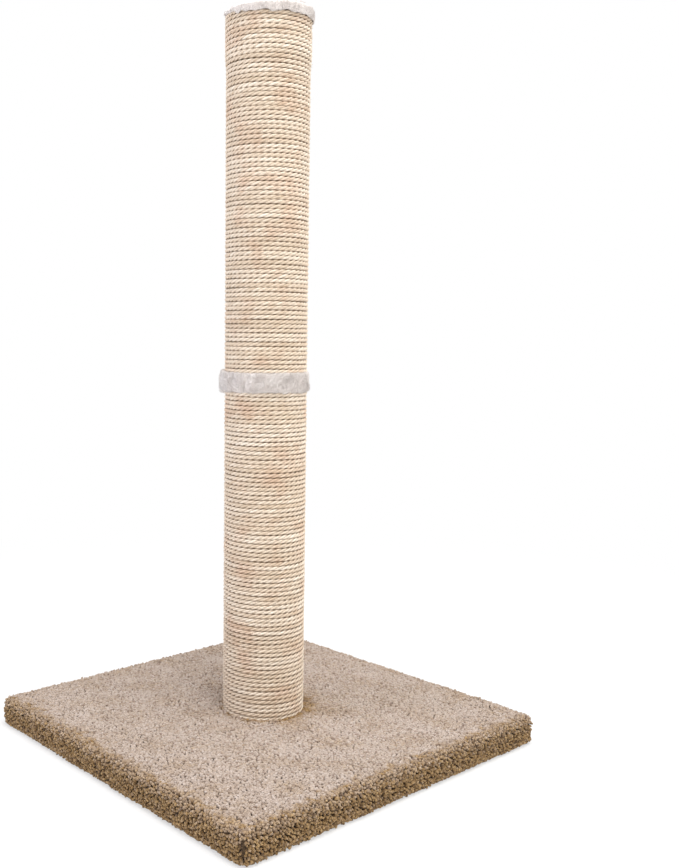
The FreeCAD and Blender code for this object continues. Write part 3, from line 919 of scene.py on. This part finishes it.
def edge_pile(material):
    """Tufts round the edges and down the sides, fanned over the folds and parted at the corners."""
    rng = np.random.default_rng(32)
    roots, ways, golden_and_shade = [], [], []
    pile = CARPET_THICKNESS - BACKING
    spread_at = 0.6  # height in the pile at which the tufts are evenly spread
    mid_gap = BACKING + pile * spread_at
    for outward, height, tilt in fold_profile(mid_gap, SIDE_SPACING, FOLD_RADIUS + CARPET_THICKNESS):
        if tilt == math.pi:
            continue
        half = BOARD_HIGH.x + outward
        count = round(8 * half / SIDE_SPACING)
        ring, normal = square_ring(half, BOARD_CORNER + outward, count)
        spot = np.column_stack([ring, np.full(count, height)])
        way = np.column_stack([normal * math.sin(tilt), np.full(count, math.cos(tilt))])
        stray = rng.normal(0, SCATTER * SIDE_SPACING, (count, 3)) * (1 - np.abs(way))
        spot = spot - way * pile * spread_at + stray
        on_top, mid_side = tilt < math.radians(50), np.abs(spot[:, :2]).min(1) < BOARD_HIGH.x / 2
        keep = (off_seam(spot) > 0.5 * MM) | on_top | mid_side
        roots.append(spot[keep])
        ways.append(way[keep])
        # Further down the side the tufts are more gold-brown and darker, partly as painted shade, starting
        # higher on the two sides that face the camera.
        down = (BOARD_HIGH.z + pile - height) / (2 * FOLD_RADIUS + 2 * pile)
        start = np.where(spot[keep, :2].sum(1) < 0, 0.6, 0.2)
        golden_and_shade.append(start + (1.05 - start) * np.clip(down, 0, 1) + rng.normal(0, 0.14, keep.sum()))
    roots, ways, golden_and_shade = np.concatenate(roots), np.concatenate(ways), np.clip(np.concatenate(golden_and_shade), 0, 1)
    ways = unit(ways + rng.normal(0, 0.16, ways.shape))
    lengths = pile_lengths(roots, rng, 0.5 * MM)
    front = roots[:, 1] < -roots[:, 0]
    return [tuft_mesh(f"carpet_pile_{label}", roots[pick], ways[pick], lengths[pick], SIDE_TUFT_RADIUS,
                      golden_and_shade[pick], rng, material, FLOOR_GAP)
            for label, pick in (("front", front), ("back", ~front))]


def hem_pile(material):
    """Tufts of the hem, pressed flat between the board and the floor."""
    rng = np.random.default_rng(33)
    roots = []
    for outward, height, tilt in fold_profile(BACKING, HEM_SPACING):
        if tilt != math.pi:
            continue
        half = BOARD_HIGH.x + outward
        count = round(8 * half / HEM_SPACING)
        ring, _ = square_ring(half, 0.3 * MM, count)
        roots.append(np.column_stack([ring, np.full(count, height)]))
    roots = np.concatenate(roots)
    roots = roots[off_seam(roots) > 0.9 * MM]
    roots[:, :2] += rng.normal(0, SCATTER * SIDE_SPACING, (len(roots), 2))
    ways = unit(np.array([0, 0, -1.0]) + rng.normal(0, 0.35, roots.shape))
    lengths = pile_lengths(roots, rng)
    # Partly gold-brown with painted shade, as on the sides.
    golden_and_shade = np.full(len(roots), 0.6)
    return tuft_mesh("carpet_pile_hem", roots, ways, lengths, TOP_TUFT_RADIUS, golden_and_shade, rng, material,
                     FLOOR_GAP)


# ---- stage ---------------------------------------------------------------------------
def floor_material():
    """Pale floor that keeps the object's shadow and runs out to plain white."""
    shader = Shader("floor", Roughness=0.9)
    shader.colour((0.9, 0.9, 0.9, 1))
    distance = shader.add("ShaderNodeVectorMath", {0: shader.place()}, operation="LENGTH").outputs["Value"]
    far = shader.add("ShaderNodeMapRange", {"Value": distance, "From Min": 0.35, "From Max": 1.1,
                                            "To Min": 0.55, "To Max": 1.0}).outputs["Result"]
    white = shader.add("ShaderNodeEmission", {"Color": (1, 1, 1, 1), "Strength": 1.0})
    share = shader.math("MULTIPLY", shader.seen(), far)
    both = shader.add("ShaderNodeMixShader", {0: share, 1: shader.surface.outputs[0], 2: white.outputs[0]})
    shader.feed(shader.output, "Surface", both.outputs[0])
    return shader.material


def make_floor():
    reach = 6.0
    points = np.array([(-reach, -reach, 0), (reach, -reach, 0), (reach, reach, 0), (-reach, reach, 0)])
    floor = mesh_piece("floor", points, [np.array([[0, 1, 2, 3]])], smooth=False)
    floor.data.materials.append(floor_material())


def make_world():
    """Even pale light from all round, seen as plain white."""
    world = bpy.data.worlds.new("studio")
    bpy.context.scene.world = world
    world.use_nodes = True
    nodes = Nodes(world.node_tree)
    lighting = nodes.add("ShaderNodeBackground", {"Color": (1.0, 0.995, 0.985, 1), "Strength": 0.45})
    plain = nodes.add("ShaderNodeBackground", {"Color": (1, 1, 1, 1), "Strength": 1.0})
    both = nodes.add("ShaderNodeMixShader", {0: nodes.seen(), 1: lighting.outputs[0], 2: plain.outputs[0]})
    nodes.add("ShaderNodeOutputWorld", {"Surface": both.outputs[0]})


def area_lamp(name, place, aim, size, power, colour=(1, 1, 1)):
    lamp = bpy.data.lights.new(name, "AREA")
    lamp.shape = "SQUARE"
    lamp.size = size
    lamp.energy = power
    lamp.color = colour
    item = bpy.data.objects.new(name, lamp)
    item.location = place
    item.rotation_euler = (Vector(aim) - Vector(place)).to_track_quat("-Z", "Y").to_euler()
    bpy.context.scene.collection.objects.link(item)


def make_lamps():
    middle = (0, 0, 0.35)
    area_lamp("overhead", (0.0, -0.6, 2.4), middle, 1.8, 62)
    area_lamp("front", (-0.6, -2.2, 1.2), middle, 1.2, 12)
    area_lamp("left", (-1.7, 1.0, 0.9), middle, 1.0, 16, (0.84, 0.86, 1.0))


def make_camera():
    """The photograph's view, from the left and a little above, its centre left of the frame's."""
    azimuth, elevation, roll = math.radians(-40.37), math.radians(5.56), math.radians(0.33)
    distance = 1.04829
    frame_width, frame_height, focal, centre_column = 679, 868, 1018.04, 236
    right = Vector((math.cos(azimuth), math.sin(azimuth), 0))
    back = Vector((math.sin(azimuth) * math.cos(elevation), -math.cos(azimuth) * math.cos(elevation),
                   math.sin(elevation)))
    up = back.cross(right)
    target = Vector((0, 0, 0.318)) - 0.03015 * right
    camera = bpy.data.cameras.new("camera")
    camera.sensor_width = 36.0
    camera.lens = focal / frame_height * camera.sensor_width
    camera.shift_x = (frame_width / 2 - centre_column) / frame_height
    camera.clip_start = 0.01
    item = bpy.data.objects.new("camera", camera)
    turned_right = math.cos(roll) * right + math.sin(roll) * up
    turned_up = -math.sin(roll) * right + math.cos(roll) * up
    axes = Matrix((turned_right, turned_up, back)).transposed().to_4x4()
    item.matrix_world = Matrix.Translation(target + distance * back) @ axes
    bpy.context.scene.collection.objects.link(item)
    bpy.context.scene.camera = item


# ---- the object ----------------------------------------------------------------------
def paint_nodes():
    """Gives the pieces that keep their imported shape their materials."""
    makers = {"fibreboard": board_material, "paper_tube": paper_material, "plug_plastic": plastic_material,
              "zinc_steel": steel_material}
    made = {slot: maker() for slot, maker in makers.items()}
    for part in frame["record"]["subparts"]:
        if part["material_slot"] in made:
            frame["nodes"][part["node"]].material_slots[0].material = made[part["material_slot"]]


def make_ropes():
    sisal = rope_material()
    fuzz = fuzz_material()
    low_crown, high_crown = ROPE_RADIUS - CROWN_DEPTH, ROPE_OVER_SKIRT_RADIUS - CROWN_DEPTH
    lower = winding("rope_lower", "lower_rope", LOWER_ROPE_LOW.z, LOWER_ROPE_HIGH.z,
                    lambda height: ROPE_RADIUS + 0 * height,
                    (low_crown, low_crown), 11, sisal)
    climb = 6 * MM

    def radius_at(height):
        share = np.clip((height - CAP_LOW.z + climb) / (2 * climb), 0, 1)
        return ROPE_RADIUS + (ROPE_OVER_SKIRT_RADIUS - ROPE_RADIUS) * share

    upper = winding("rope_upper", "upper_rope", UPPER_ROPE_LOW.z, UPPER_ROPE_HIGH.z + ROPE_OVER_TUBE,
                    radius_at, (low_crown, high_crown), 12, sisal)
    rope_fuzz("rope_lower_fuzz", lower, 350, 13, fuzz)
    rope_fuzz("rope_upper_fuzz", upper, 350, 14, fuzz)


def make_carpet():
    yarn = carpet_material()
    pile = [*top_pile(yarn), *edge_pile(yarn), hem_pile(yarn)]
    carpet_backing(backing_material())


make_camera()
make_world()
make_floor()
make_lamps()
bpy.context.scene.view_settings.view_transform = "Standard"

paint_nodes()
make_ropes()
white_plush = plush_material()
plush_ring(white_plush)
foam_pad(foam_material())
plush_cap(white_plush)
make_carpet()
liner_sheet(liner_material())
